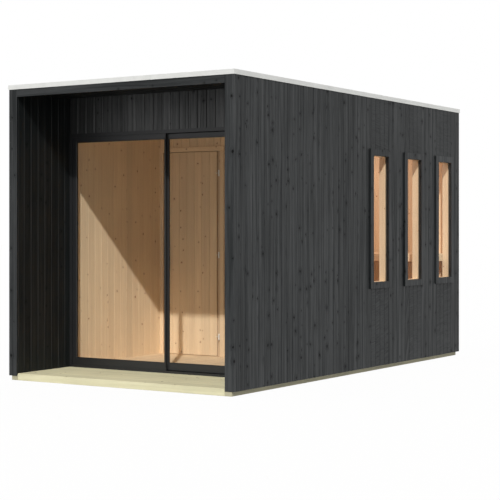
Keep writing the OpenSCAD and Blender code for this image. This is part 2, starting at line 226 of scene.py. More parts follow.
# ---- materials ----
def start_material(name):
    """A material with its Principled shader, and its graph."""
    material = bpy.data.materials.new(name)
    material.use_nodes = True
    graph = Graph(material.node_tree)
    shader = material.node_tree.nodes["Principled BSDF"]
    return material, graph, shader


def grain_vector(g, along):
    """Object coordinates turned so that the grain runs along Z."""
    place = g.add("ShaderNodeTexCoord").outputs["Object"]
    x, y, z = g.split(place)
    turned = {"z": (x, y, z), "x": (y, z, x), "y": (x, z, y)}[along]
    return g.join(*turned), place


def timber_material(name, along, light, dark, knot, share, size, rough, tone_spread, bump, patchy=0.15,
                    sheen=0.0):
    """Planed or stained softwood whose grain runs along the named axis; sheen is the gloss of a stain."""
    material, g, shader = start_material(name)
    vector, place = grain_vector(g, along)
    tone = g.add("ShaderNodeAttribute", {"attribute_name": "tone"}).outputs["Fac"]
    wood = g.add("ShaderNodeGroup", {"node_tree": TIMBER},
                 {"Vector": vector, "Tone": tone, "Knot size": size, "Knot share": share}).outputs
    cloud = g.add("ShaderNodeGroup", {"node_tree": UNEVEN}, {"Vector": place, "Scale": 1.7}).outputs["Mask"]
    band = g.remap(wood["Ring"], 0.3, 0.7)
    streak = g.remap(wood["Fibre"], 0.25, 0.75)
    figure = g.math("ADD", g.math("MULTIPLY", band, 0.65), g.math("MULTIPLY", streak, 0.35))
    colour = g.mix(figure, (*light, 1), (*dark, 1))
    level = g.remap(tone, 0.0, 1.0, 1.0 - tone_spread, 1.0 + tone_spread)
    level = g.math("MULTIPLY", level, g.remap(cloud, 0.0, 1.0, 1.0 - patchy, 1.0 + patchy))
    colour = g.mix(1.0, colour, g.join(level, level, level), "MULTIPLY")
    colour = g.mix(g.math("MULTIPLY", wood["Halo"], 0.35), colour, (*dark, 1))
    colour = g.mix(wood["Knot"], colour, (*knot, 1))
    g.feed(shader.inputs["Base Color"], colour)
    g.feed(shader.inputs["Roughness"], g.remap(figure, 0.0, 1.0, rough - 0.05, rough + 0.07))
    if sheen:
        shader.inputs["Specular IOR Level"].default_value = 0.1
        shader.inputs["Coat Roughness"].default_value = 0.42
        shader.inputs["Coat IOR"].default_value = 2.2
        share_left = g.math("SUBTRACT", 1.0, g.math("MULTIPLY", wood["Halo"], 0.3))
        off_knot = g.math("SUBTRACT", 1.0, g.math("MULTIPLY", wood["Knot"], 0.9))
        share_left = g.math("MULTIPLY", share_left, off_knot)
        gloss = g.math("MULTIPLY", g.remap(figure, 0.25, 0.75, 1.6 * sheen, 0.4 * sheen), share_left)
        g.feed(shader.inputs["Coat Weight"], g.math("MULTIPLY", gloss, level))
    relief = g.add("ShaderNodeBump", None, {"Strength": bump, "Distance": 0.001, "Height": wood["Height"]})
    g.feed(shader.inputs["Normal"], relief.outputs[0])
    return material


def coated_material(name, colour, rough, orange_peel=0.05, metallic=0.0):
    """Powder coat or lacquer: an even colour with faint clouds and a fine skin."""
    material, g, shader = start_material(name)
    place = g.add("ShaderNodeTexCoord").outputs["Object"]
    cloud = g.add("ShaderNodeGroup", {"node_tree": UNEVEN}, {"Vector": place, "Scale": 6.0}).outputs["Mask"]
    lighter = tuple(min(1.0, c * 1.12) for c in colour)
    g.feed(shader.inputs["Base Color"], g.mix(cloud, (*colour, 1), (*lighter, 1)))
    g.feed(shader.inputs["Roughness"], g.remap(cloud, 0.0, 1.0, rough - 0.04, rough + 0.04))
    shader.inputs["Metallic"].default_value = metallic
    skin = g.noise(place, 900.0, 1.0)
    relief = g.add("ShaderNodeBump", None, {"Strength": orange_peel, "Distance": 0.0005, "Height": skin})
    g.feed(shader.inputs["Normal"], relief.outputs[0])
    return material


def glass_material():
    """Clear float glass that lets light and shadow rays straight through."""
    material, g, shader = start_material("clear_glass")
    shader.inputs["Base Color"].default_value = (0.97, 0.985, 0.98, 1)
    shader.inputs["Roughness"].default_value = 0.0
    shader.inputs["IOR"].default_value = 1.06
    shader.inputs["Transmission Weight"].default_value = 1.0
    through = g.add("ShaderNodeBsdfTransparent")
    ray = g.add("ShaderNodeLightPath").outputs
    plain = g.math("MAXIMUM", ray["Is Shadow Ray"], ray["Is Diffuse Ray"])
    both = g.add("ShaderNodeMixShader", None, {0: plain, 1: shader.outputs[0], 2: through.outputs[0]})
    g.feed(material.node_tree.nodes["Material Output"].inputs["Surface"], both.outputs[0])
    return material


def felt_material():
    """Mineral-surfaced roofing felt: dark, with a speckle of pale grains."""
    material, g, shader = start_material("roofing_felt")
    place = g.add("ShaderNodeTexCoord").outputs["Object"]
    grain = g.add("ShaderNodeTexVoronoi", None, {"Vector": place, "Scale": 550.0})
    speckle = g.remap(g.split(grain.outputs["Color"])[0], 0.55, 1.0)
    cloud = g.add("ShaderNodeGroup", {"node_tree": UNEVEN}, {"Vector": place, "Scale": 1.2}).outputs["Mask"]
    base = g.mix(cloud, (0.060, 0.062, 0.066, 1), (0.085, 0.086, 0.088, 1))
    g.feed(shader.inputs["Base Color"], g.mix(speckle, base, (0.22, 0.22, 0.22, 1)))
    shader.inputs["Roughness"].default_value = 0.95
    relief = g.add("ShaderNodeBump", None,
                   {"Strength": 0.4, "Distance": 0.002, "Height": grain.outputs["Distance"]})
    g.feed(shader.inputs["Normal"], relief.outputs[0])
    return material


BLACK = {"light": (0.0100, 0.0122, 0.0132), "dark": (0.0055, 0.0068, 0.0074), "knot": (0.002, 0.002, 0.002),
         "share": 0.45, "size": 0.010, "rough": 0.6, "tone_spread": 0.14, "bump": 0.35, "patchy": 0.12,
         "sheen": 0.178}
# A glossier copy of the black stain for the front end boards, so that they read lighter: painted sheen.
SHEEN_FRONT = dict(BLACK, sheen=0.21)
# A darker, less glossy copy of the black stain for the porch's side linings: painted shade under the porch
# roof.
SHADED = dict(BLACK, light=(0.0078, 0.0098, 0.0102), dark=(0.0048, 0.0060, 0.0063), sheen=0.13,
              knot=(0.004, 0.004, 0.004), share=0.3, size=0.007)
# A lighter, glossier copy of the black stain for the cladding over the glazed front, which sits in the
# porch's shade: painted light.
OVER_DOOR = dict(BLACK, light=(0.020, 0.021, 0.021), dark=(0.013, 0.014, 0.014), sheen=0.34,
                 knot=(0.006, 0.006, 0.006), share=0.3, size=0.007)
SPRUCE = {"light": (0.85, 0.675, 0.455), "dark": (0.68, 0.49, 0.315), "knot": (0.32, 0.14, 0.065),
          "share": 0.42, "size": 0.0065, "rough": 0.55, "tone_spread": 0.06, "bump": 0.12, "patchy": 0.05}
# A darker copy of the spruce for the door jambs: painted shade in their recess.
SHADED_JAMB = dict(SPRUCE, light=(0.62, 0.45, 0.30), dark=(0.48, 0.33, 0.21))
TREATED = {"light": (0.88, 0.84, 0.58), "dark": (0.66, 0.62, 0.40), "knot": (0.22, 0.16, 0.07),
           "share": 0.16, "size": 0.009, "rough": 0.65, "tone_spread": 0.06, "bump": 0.20, "patchy": 0.08}
# A darker copy of the treated timber for the ground beams, painted shade under the cladding's overhang, and
# patchier.
SHADED_BEAM = dict(TREATED, light=(0.54, 0.51, 0.36), dark=(0.40, 0.375, 0.25), patchy=0.16)
BLACK_UP, BLACK_X, BLACK_Y = (timber_material("black_stain_" + a, a, **BLACK) for a in "zxy")
SHEEN_FRONT_UP = timber_material("black_front_painted_sheen_z", "z", **SHEEN_FRONT)
SHADED_UP = timber_material("black_porch_painted_shade_z", "z", **SHADED)
LIT_OVER_DOOR_UP = timber_material("black_over_door_painted_light_z", "z", **OVER_DOOR)
SHADED_BEAM_X, SHADED_BEAM_Y = (timber_material("treated_beam_shade_" + a, a, **SHADED_BEAM) for a in "xy")
SPRUCE_UP, SPRUCE_X, SPRUCE_Y = (timber_material("spruce_" + a, a, **SPRUCE) for a in "zxy")
SHADED_JAMB_UP = timber_material("spruce_jamb_painted_shade_z", "z", **SHADED_JAMB)
TREATED_X, TREATED_Y = (timber_material("treated_" + a, a, **TREATED) for a in "xy")
BLACK_COAT = coated_material("black_coat", (0.0125, 0.013, 0.014), 0.45)
# A darker matt copy of the black coat for the sashes' meeting stiles: painted shade.
BLACK_STILE_SHADE = coated_material("black_stile_painted_shade", (0.010, 0.010, 0.0105), 0.8)
TRIM_COAT = coated_material("trim_coat", (0.725, 0.735, 0.72), 0.5)
STEEL = coated_material("zinc_steel", (0.78, 0.78, 0.77), 0.35, metallic=0.35)
HARDWOOD = timber_material("hardwood_z", "z", (0.33, 0.17, 0.08), (0.22, 0.10, 0.045), (0.1, 0.04, 0.02),
                           0.0, 0.005, 0.4, 0.05, 0.1)
GLASS = glass_material()
FELT = felt_material()


# ---- mesh helpers ----
def to_object(name, mesh, material=None):
    piece = bpy.data.objects.new(name, mesh)
    bpy.context.scene.collection.objects.link(piece)
    if material is not None:
        mesh.materials.clear()
        mesh.materials.append(material)
    return piece


def finish_bmesh(bm, name, material=None):
    bmesh.ops.recalc_face_normals(bm, faces=bm.faces)
    mesh = bpy.data.meshes.new(name)
    bm.to_mesh(mesh)
    bm.free()
    return to_object(name, mesh, material)


def settle(piece, body="house", nodes=()):
    """The piece rides on its body and stands for its CAD nodes, which are hidden."""
    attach(piece, body)
    if nodes:
        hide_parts(*nodes)
    return piece


def prism(bm, outline, place, length_axis, low, high):
    """An outline of (u, n) points, put in space by place, extruded from low to high along the length axis."""
    rings = []
    for level in (low, high):
        ring = []
        for point in outline:
            at = place(point)
            at[AXES[length_axis]] = level
            ring.append(bm.verts.new(at))
        rings.append(ring)
    count = len(outline)
    for i in range(count):
        j = (i + 1) % count
        bm.faces.new((rings[0][i], rings[0][j], rings[1][j], rings[1][i]))
    bm.faces.new(rings[0])
    bm.faces.new(rings[1])


def plank_mesh(name, u, n, side, width, thick, length, chamfer, both=False):
    """One board from the origin: width along u, thickness along n towards side, V edges on its face."""
    a, b = BOARD_GAP / 2, width - BOARD_GAP / 2
    front = [(b, thick - chamfer), (b - chamfer, thick), (a + chamfer, thick), (a, thick - chamfer)]
    back = [(a, chamfer), (a + chamfer, 0), (b - chamfer, 0), (b, chamfer)] if both else [(a, 0), (b, 0)]

    def place(point):
        at = [0.0, 0.0, 0.0]
        at[AXES[u]] = point[0]
        at[AXES[n]] = side * point[1]
        return at

    bm = bmesh.new()
    length_axis = ({"x", "y", "z"} - {u, n}).pop()
    prism(bm, back + front, place, length_axis, 0.0, length)
    return finish_bmesh(bm, name)


# ---- geometry nodes: a run of boards ----
def board_run_tree():
    """Copies one board along a line, squeezes the first and last to their widths, and gives each a tone."""
    tree = bpy.data.node_groups.new("BoardRun", "GeometryNodeTree")
    for label, kind, value in (
        ("Geometry", "Geometry", None), ("Start", "Vector", (0, 0, 0)), ("Along", "Vector", (1, 0, 0)),
        ("Relief", "Vector", (0, 0, 0)), ("Count", "Int", 10), ("Pitch", "Float", 0.09),
        ("First width", "Float", 0.09), ("Last width", "Float", 0.09), ("Seed", "Int", 1),
        ("Material", "Material", None),
    ):
        socket = tree.interface.new_socket(label, in_out="INPUT", socket_type="NodeSocket" + kind)
        if value is not None:
            socket.default_value = value
    tree.interface.new_socket("Geometry", in_out="OUTPUT", socket_type="NodeSocketGeometry")
    g = Graph(tree)
    given = g.add("NodeGroupInput").outputs
    line = g.add("GeometryNodeMeshLine", {"mode": "OFFSET"}, {"Count": given["Count"], "Offset": (0, 0, 0)})
    index = g.add("GeometryNodeInputIndex").outputs[0]
    past_first = g.math("ADD", given["First width"],
                        g.math("MULTIPLY", g.math("SUBTRACT", index, 1.0), given["Pitch"]))
    travel = g.math("MAXIMUM", past_first, 0.0)
    dip = g.add("FunctionNodeRandomValue", {"data_type": "FLOAT"}, {"ID": index, "Seed": given["Seed"]})
    place = g.vector("ADD", given["Start"], g.vector("SCALE", given["Along"], travel))
    place = g.vector("ADD", place, g.vector("SCALE", given["Relief"], dip.outputs[1]))
    points = g.add("GeometryNodeSetPosition", None, {"Geometry": line.outputs[0], "Position": place})
    is_first = g.math("LESS_THAN", index, 0.5)
    is_last = g.math("GREATER_THAN", index, g.math("SUBTRACT", given["Count"], 1.5))
    first_share = g.math("DIVIDE", given["First width"], given["Pitch"])
    first_part = g.math("MULTIPLY", is_first, g.math("SUBTRACT", first_share, 1.0))
    last_share = g.math("DIVIDE", given["Last width"], given["Pitch"])
    last_part = g.math("MULTIPLY", is_last, g.math("SUBTRACT", last_share, 1.0))
    squeeze = g.vector("SCALE", given["Along"], g.math("ADD", first_part, last_part))
    scale = g.vector("ADD", squeeze, (1, 1, 1))
    boards = g.add("GeometryNodeInstanceOnPoints", None,
                   {"Points": points.outputs[0], "Instance": given["Geometry"], "Scale": scale})
    tone_seed = g.math("ADD", given["Seed"], 100.0)
    tone = g.add("FunctionNodeRandomValue", {"data_type": "FLOAT"}, {"ID": index, "Seed": tone_seed})
    stored = g.add("GeometryNodeStoreNamedAttribute", {"data_type": "FLOAT", "domain": "INSTANCE"},
                   {"Geometry": boards.outputs[0], "Name": "tone", "Value": tone.outputs[1]})
    real = g.add("GeometryNodeRealizeInstances", None, {"Geometry": stored.outputs[0]})
    coated = g.add("GeometryNodeSetMaterial", None,
                   {"Geometry": real.outputs[0], "Material": given["Material"]})
    g.add("NodeGroupOutput", None, {0: coated.outputs[0]})
    return tree


BOARD_RUN = board_run_tree()


def set_inputs(modifier, values):
    """Sets a Geometry Nodes modifier's inputs by the labels of its sockets."""
    sockets = {item.name: item.identifier for item in modifier.node_group.interface.items_tree
               if item.item_type == "SOCKET" and item.in_out == "INPUT"}
    for label, value in values.items():
        modifier[sockets[label]] = value


def bake_modifiers(piece):
    """Turns the piece's evaluated shape into its plain mesh and removes its modifiers."""
    bpy.context.view_layer.update()
    evaluated = piece.evaluated_get(bpy.context.evaluated_depsgraph_get())
    mesh = bpy.data.meshes.new_from_object(evaluated)
    old = piece.data
    piece.modifiers.clear()
    piece.data = mesh
    bpy.data.meshes.remove(old)
    return piece


def board_run(name, low, high, u, n, side, pitch, first, chamfer, material, seed, both=False, cutter=None):
    """Boards side by side along u that fill the box, with their faces towards side of n."""
    size = high - low
    span, thick = size[AXES[u]], size[AXES[n]]
    length_axis = ({"x", "y", "z"} - {u, n}).pop()
    first = min(first, pitch)
    count = 1 + math.ceil((span - first) / pitch - 1e-6)
    last = span - first - (count - 2) * pitch
    blank = plank_mesh(name, u, n, side, pitch, thick, size[AXES[length_axis]], chamfer, both)
    start = low.copy()
    if side < 0:
        start[AXES[n]] = high[AXES[n]]
    along, relief = Vector((0, 0, 0)), Vector((0, 0, 0))
    along[AXES[u]] = 1.0
    relief[AXES[n]] = 0.0 if both else -side * BOARD_RELIEF
    run = blank.modifiers.new("boards", "NODES")
    run.node_group = BOARD_RUN
    set_inputs(run, {"Start": start, "Along": along, "Relief": relief, "Count": count, "Pitch": pitch,
                     "First width": first, "Last width": last, "Seed": seed, "Material": material})
    if cutter is not None:
        cut = blank.modifiers.new("windows", "BOOLEAN")
        cut.operation, cut.solver, cut.object = "DIFFERENCE", "EXACT", cutter
    return bake_modifiers(blank)


def box_faces(bm, low, high):
    """A closed box between two corners."""
    made = bmesh.ops.create_cube(bm, size=1.0)["verts"]
    for v in made:
        v.co = Vector([(low[i] + high[i]) / 2 + v.co[i] * (high[i] - low[i]) for i in range(3)])
    return made


def tone_mesh(mesh, value):
    """Gives the whole mesh one board tone."""
    layer = mesh.attributes.new("tone", "FLOAT", "POINT")
    layer.data.foreach_set("value", [value] * len(mesh.vertices))


def timbers(name, boxes, material, bevel=EDGE, seed=0.37):
    """Separate square timbers with eased edges, each with its own tone."""
    bm = bmesh.new()
    tone = bm.verts.layers.float.new("tone")
    for i, (low, high) in enumerate(boxes):
        made = box_faces(bm, low, high)
        edges = list({e for v in made for e in v.link_edges})
        eased = bmesh.ops.bevel(bm, geom=edges, offset=bevel, segments=2, profile=0.5, affect="EDGES")
        value = (seed + i * 0.618) % 1.0
        for v in set(made) | set(eased["verts"]):
            if v.is_valid:
                v[tone] = value
    return finish_bmesh(bm, name, material)


def islands(node):
    """The boxes of a CAD node's separate solids, sorted by place."""
    bm = bmesh.new()
    bm.from_mesh(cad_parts[node].data)
    bmesh.ops.remove_doubles(bm, verts=bm.verts, dist=1e-5)
    left, boxes = set(bm.verts), []
    while left:
        todo, found = [left.pop()], []
        while todo:
            v = todo.pop()
            found.append(v.co.copy())
            for e in v.link_edges:
                other = e.other_vert(v)
                if other in left:
                    left.discard(other)
                    todo.append(other)
        low = Vector([min(c[i] for c in found) for i in range(3)])
        high = Vector([max(c[i] for c in found) for i in range(3)])
        boxes.append((low, high))
    bm.free()
    return sorted(boxes, key=lambda b: tuple(round(c, 4) for c in b[0]))


def ring_frame(name, low, high, axis, widths, profile, material, tone=0.4):
    """A mitred rectangular frame round axis. widths are (low a, high a, low b, high b) member widths.

    profile holds (share, extra, depth) points: inwards by share of the member's width plus extra, and
    depth along the axis from low.
    """
    a, b = [i for i in range(3) if i != AXES[axis]]
    bm = bmesh.new()
    loops = []
    for share, extra, depth in profile:
        inset = [w * share + extra for w in widths]
        corners = ((low[a] + inset[0], low[b] + inset[2]), (high[a] - inset[1], low[b] + inset[2]),
                   (high[a] - inset[1], high[b] - inset[3]), (low[a] + inset[0], high[b] - inset[3]))
        loop = []
        for p, q in corners:
            at = [0.0, 0.0, 0.0]
            at[a], at[b], at[AXES[axis]] = p, q, low[AXES[axis]] + depth
            loop.append(bm.verts.new(at))
        loops.append(loop)
    for i, loop in enumerate(loops):
        following = loops[(i + 1) % len(loops)]
        for c in range(4):
            d = (c + 1) % 4
            bm.faces.new((loop[c], loop[d], following[d], following[c]))
    piece = finish_bmesh(bm, name, material)
    tone_mesh(piece.data, tone)
    return piece


# ---- cladding and linings ----
def window_cutter():
    """Boxes through the right wall at the panes, longer than the wall is thick."""
    bm = bmesh.new()
    for low, high in islands("window_panes"):
        box_faces(bm, low - Vector((CUTTER_REACH, 0, 0)), high + Vector((CUTTER_REACH, 0, 0)))
    return finish_bmesh(bm, "window_cutter")


def clad_walls(cutter):
    """Upright V-jointed boards on the outer walls and over the glazed front."""
    runs = (
        ("left_cladding", "y", "x", -1, CLAD_FIRST, CLAD_CHAMFER, BLACK_UP, None),
        ("right_cladding", "y", "x", 1, CLAD_FIRST, CLAD_CHAMFER, BLACK_UP, cutter),
        ("rear_cladding", "x", "y", 1, None, CLAD_CHAMFER, BLACK_UP, None),
        # The over-door boards take the lighter copy of the black stain: painted light.
        ("over_door_cladding", "x", "y", -1, None, OVER_DOOR_CHAMFER, LIT_OVER_DOOR_UP, None),
    )
    for i, (node, u, n, side, first, chamfer, material, cut) in enumerate(runs):
        low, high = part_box(node)
        span = (high - low)[AXES[u]]
        pitch = CLAD_PITCH if first else span / round(span / (CLAD_PITCH * 1.04))
        boards = board_run(node + "_boards", low, high, u, n, side, pitch, first or pitch, chamfer,
                           material, 11 + i, cutter=cut)
        settle(boards, nodes=[node])


def line_porch():
    """Boards with fine joints on the porch's two side walls, and boards on its soffit."""
    solids = islands("porch_linings")
    for (low, high), side, label in zip(solids, (1, -1), ("left", "right")):
        # The porch's side linings take the darker copy of the black stain: painted shade.
        boards = board_run("porch_" + label + "_boards", low, high, "y", "x", side, PORCH_PITCH, CLAD_FIRST,
                           PORCH_CHAMFER, SHADED_UP, 21 + side)
        settle(boards, nodes=["porch_linings"])
    low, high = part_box("soffit")
    pitch = (high.x - low.x) / SOFFIT_BOARDS
    boards = board_run("soffit_boards", low, high, "x", "z", -1, pitch, pitch, CLAD_CHAMFER, BLACK_Y, 25)
    settle(boards, nodes=["soffit"])


def line_rooms(cutter):
    """Light boards on the rooms' walls and ceiling, and floor boards."""
    runs = (
        ("left_lining", "y", "x", 1, SPRUCE_UP, None),
        ("right_lining", "y", "x", -1, SPRUCE_UP, cutter),
        ("rear_lining", "x", "y", -1, SPRUCE_UP, None),
        ("over_door_lining", "x", "y", 1, SPRUCE_UP, None),
        ("ceiling", "x", "z", -1, SPRUCE_Y, None),
    )
    for i, (node, u, n, side, material, cut) in enumerate(runs):
        low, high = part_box(node)
        boards = board_run(node + "_boards", low, high, u, n, side, LINING_PITCH, LINING_FIRST,
                           LINING_CHAMFER, material, 31 + i, cutter=cut)
        settle(boards, nodes=[node])
    low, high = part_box("room_floor")
    boards = board_run("floor_boards", low, high, "x", "z", 1, FLOOR_PITCH, FLOOR_PITCH / 2,
                       FLOOR_CHAMFER, SPRUCE_Y, 41)
    settle(boards, nodes=["room_floor"])


def line_partition():
    """The partition as a core with boards on both faces."""
    for node in ("partition", "partition_over_door"):
        low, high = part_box(node)
        for side, label in ((-1, "front"), (1, "back")):
            a, b = low.copy(), high.copy()
            if side < 0:
                b.y = low.y + PARTITION_SKIN
            else:
                a.y = high.y - PARTITION_SKIN
            boards = board_run(f"{node}_{label}_boards", a, b, "x", "y", side, LINING_PITCH, LINING_FIRST,
                               LEAF_CHAMFER, SPRUCE_UP, 51 + side)
            settle(boards, nodes=[node])
        inwards = Vector((0, PARTITION_SKIN, 0))
        core = timbers(node + "_core", [(low + inwards, high - inwards)], SPRUCE_UP, 0.5 * MM)
        settle(core, nodes=[node])


# ---- porch mouth, base and deck ----
def frame_porch_mouth():
    # The end boards take the glossier copy of the black stain: painted sheen.
    boards = timbers("front_end_boards", islands("end_boards"), SHEEN_FRONT_UP)
    settle(boards, nodes=["end_boards"])
    header = timbers("front_header", islands("header_board"), BLACK_X, seed=0.8)
    settle(header, nodes=["header_board"])


def build_base():
    # The side and cross beams take the darker copy of the treated timber: painted shade.
    for node, material in (("side_beams", SHADED_BEAM_Y), ("cross_beams", SHADED_BEAM_X), ("deck_joists", TREATED_Y),
                           ("deck_front_board", TREATED_X), ("deck_boards", TREATED_X)):
        made = timbers(node + "_timber", islands(node), material, 3 * MM if "deck" in node else EDGE)
        settle(made, nodes=[node])


# ---- glazed front ----
def sash_profile(thick, bead, gasket):
    """A slim sash member: eased edges, a sloped bead to the glass on both sides and a gasket on the glass."""
    e = 1.2 * MM
    near, far = thick / 2 - gasket, thick / 2 + gasket
    return [(0, 0, e), (0, e, 0), (1, -bead, 0), (1, 0, bead), (1, 0, near), (1, 3 * MM, near),
            (1, 3 * MM, far), (1, 0, far), (1, 0, thick - bead), (1, -bead, thick), (0, e, thick),
            (0, 0, thick - e)]


def build_sashes():
    """Both sashes as moulded rings round their panes, with a darker matt copy of the black coat at the
    meeting stiles for painted shade.
    """
    for node, glass, body in (("fixed_sash", "fixed_glass", "house"),
                              ("sliding_sash", "sliding_glass", "sliding_door")):
        low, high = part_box(node)
        g_low, g_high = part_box(glass)
        cover = 10 * MM
        widths = (g_low.x + cover - low.x, high.x - (g_high.x - cover),
                  g_low.z + cover - low.z, high.z - (g_high.z - cover))
        ring = ring_frame(node + "_profile", low, high, "y", widths,
                          sash_profile(high.y - low.y, 3 * MM, 6.5 * MM), BLACK_COAT)
        ring.data.materials.append(BLACK_STILE_SHADE)
        # Faces near the meeting stiles take the darker matt copy of the black coat: painted shade.
        for face in ring.data.polygons:
            face.material_index = int(abs(face.center.x) < MEETING_REACH)
        settle(ring, body, [node])


def finish_cad_nodes():
    """Gives the CAD pieces that stay their materials."""
    looks = {"left_wall": SPRUCE_UP, "right_wall": SPRUCE_UP, "rear_wall": SPRUCE_UP, "door_beam": BLACK_X,
             "door_frame": BLACK_COAT, "fixed_glass": GLASS, "sliding_glass": GLASS, "window_panes": GLASS,
             "sliding_handles": BLACK_COAT, "inner_door_handles": HARDWOOD,
             "roof_slab": FELT, "window_linings": SPRUCE_UP}
    for node, material in looks.items():
        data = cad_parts[node].data
        data.materials.clear()
        data.materials.append(material)


# ---- windows, roof, bench and inner door ----
def build_windows():
    """Mitred casings that stand out from the cladding, with a sloped outer edge and a frame in the wall."""
    pane_low, pane_high = islands("window_panes")[0]
    for i in (1, 2, 3):
        node = f"window_frame_{i}"
        low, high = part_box(node)
        face = high.x - low.x
        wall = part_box("right_cladding")[1].x - low.x
        bar = (high.z - low.z - (pane_high.z - pane_low.z)) / 2 + CASING_COVER
        profile = [(0, 0, wall), (0, 0, face - EDGE), (0, EDGE, face), (1, -EDGE, face),
                   (1, 0, face - EDGE), (1, 0, 0), (1, -CASING_COVER, 0), (1, -CASING_COVER, wall)]
        casing = ring_frame(node + "_casing", low, high, "x", (bar,) * 4, profile, BLACK_UP, tone=0.3 * i)
        settle(casing, nodes=[node])


def build_roof():
    """The folded edge trim, and felt laid in lapped lengths between the trim."""
    low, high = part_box("roof_edge")
    top = high.z - low.z
    slab_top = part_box("roof_slab")[1].z
    lip = high.z - slab_top
    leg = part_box("roof_slab")[0].x - low.x
    width = leg + TRIM_LIP
    profile = [(0, 0, 0), (0, 0, top - EDGE), (0, EDGE, top), (1, -EDGE, top), (1, 0, top - EDGE),
               (1, 0, top - lip), (0, leg, top - lip), (0, leg, 0)]
    trim = ring_frame("trim_profile", low, high, "z", (width,) * 4, profile, TRIM_COAT)
    settle(trim, nodes=["roof_edge"])
    inner_low, inner_high = low + Vector((width, width, 0)), high - Vector((width, width, 0))
    sheet = (inner_high.x - inner_low.x + FELT_LAP * (FELT_SHEETS - 1)) / FELT_SHEETS
    bm = bmesh.new()
    for i in range(FELT_SHEETS):
        x = inner_low.x + i * (sheet - FELT_LAP)
        foot = slab_top + FELT_LIFT * (i % 2)
        made = box_faces(bm, (x, inner_low.y, foot), (x + sheet, inner_high.y, foot + FELT_THICK))
        edges = list({e for v in made for e in v.link_edges})
        bmesh.ops.bevel(bm, geom=edges, offset=FELT_EDGE, segments=1, affect="EDGES")
    sheets = finish_bmesh(bm, "felt_sheets", FELT)
    settle(sheets)


def build_bench():
    """Bench slats with rounded edges on bearers, behind a deep front rail on two legs."""
    low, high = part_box("bench")
    thick, rail, gap, bearer, leg, count = 28 * MM, 75 * MM, 14 * MM, 45 * MM, 60 * MM, 5
    slat = (high.y - low.y - thick - gap * count) / count
    boxes = [(Vector((low.x, low.y, high.z - rail)), Vector((high.x, low.y + thick, high.z)))]
    for i in range(count):
        y = low.y + thick + gap + i * (slat + gap)
        boxes.append((Vector((low.x, y, high.z - thick)), Vector((high.x, y + slat, high.z))))
    slats = timbers("bench_slats", boxes, SPRUCE_X, 4 * MM)
    settle(slats, nodes=["bench"])
    boxes = []
    for x in (low.x, low.x / 3 - bearer / 2, high.x / 3 - bearer / 2, high.x - bearer):
        boxes.append((Vector((x, low.y + thick, high.z - rail)),
                      Vector((x + bearer, high.y, high.z - thick))))
    bearers = timbers("bench_bearers", boxes, SPRUCE_Y)
    settle(bearers, nodes=["bench"])
    boxes = [(Vector((x, low.y + 1 * MM, low.z)), Vector((x + leg, low.y + thick + bearer, high.z - rail)))
             for x in (low.x, high.x - leg)]
    legs = timbers("bench_legs", boxes, SPRUCE_UP)
    settle(legs, nodes=["bench"])


def build_inner_door():
    """Upright boards with V joints on both faces of the leaf."""
    low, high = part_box("inner_door_leaf")
    width = high.x - low.x
    pitch = width / round(width / LEAF_PITCH)
    boards = board_run("leaf_boards", low, high, "x", "y", -1, pitch, pitch, LEAF_CHAMFER, SPRUCE_UP, 61,
                       both=True)
    settle(boards, "inner_door", ["inner_door_leaf"])


def frame_inner_door():
    """Jambs and head in a darker copy of the spruce, painted shade in their recess, stops behind the leaf,
    and casing boards on the changing room side.
    """
    low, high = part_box("inner_door_frame")
    leaf_low, leaf_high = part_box("inner_door_leaf")
    gap, stop, casing, wall_casing, lap = 5 * MM, 15 * MM, 45 * MM, 39 * MM, 5 * MM
    face = leaf_low.y
    jamb_y, stop_y = face + 8 * MM, leaf_high.y + gap
    left, right, top = leaf_low.x - gap, leaf_high.x + gap, leaf_high.z + gap
    outer = high.x - casing + lap

    def box(x0, y0, z0, x1, y1, z1):
        return Vector((x0, y0, z0)), Vector((x1, y1, z1))

    jambs = [box(low.x, jamb_y, low.z, left, high.y, top), box(right, jamb_y, low.z, outer, high.y, top),
             box(low.x, jamb_y, top, outer, high.y, high.z)]
    settle(timbers("door_jambs", jambs, SHADED_JAMB_UP), nodes=["inner_door_frame"])
    stop_back = stop_y + 20 * MM
    stops = [box(left, stop_y, low.z, left + stop, stop_back, top - stop),
             box(right - stop, stop_y, low.z, right, stop_back, top - stop),
             box(left, stop_y, top - stop, right, stop_back, top)]
    settle(timbers("door_stops", stops, SPRUCE_UP), nodes=["inner_door_frame"])
    sides = [box(low.x, low.y, low.z, low.x + wall_casing, jamb_y, top),
             box(high.x - casing, low.y, low.z, high.x, face, top)]
    settle(timbers("door_casing_sides", sides, SPRUCE_UP, seed=0.9),
           nodes=["inner_door_frame"])
    head = [box(low.x, low.y, top, high.x, face, high.z)]
    settle(timbers("door_casing_head", head, SPRUCE_X, seed=0.9),
           nodes=["inner_door_frame"])


def turned(bm, start, end, radius, ease):
    """A round bar between two points. Its rounded ends stand past both points by ease."""
    axis = end - start
    made = bmesh.ops.create_cone(bm, cap_ends=True, segments=24, radius1=radius, radius2=radius,
                                 depth=axis.length)["verts"]
    turn = axis.to_track_quat("Z", "Y").to_matrix()
    for v in made:
        v.co = turn @ v.co + (start + end) / 2
    edges = {e for v in made for e in v.link_edges}
    rims = [e for e in edges if abs((e.verts[0].co - e.verts[1].co).dot(axis)) < 1e-9]
    bmesh.ops.bevel(bm, geom=rims, offset=ease, segments=2, profile=0.5, affect="EDGES")


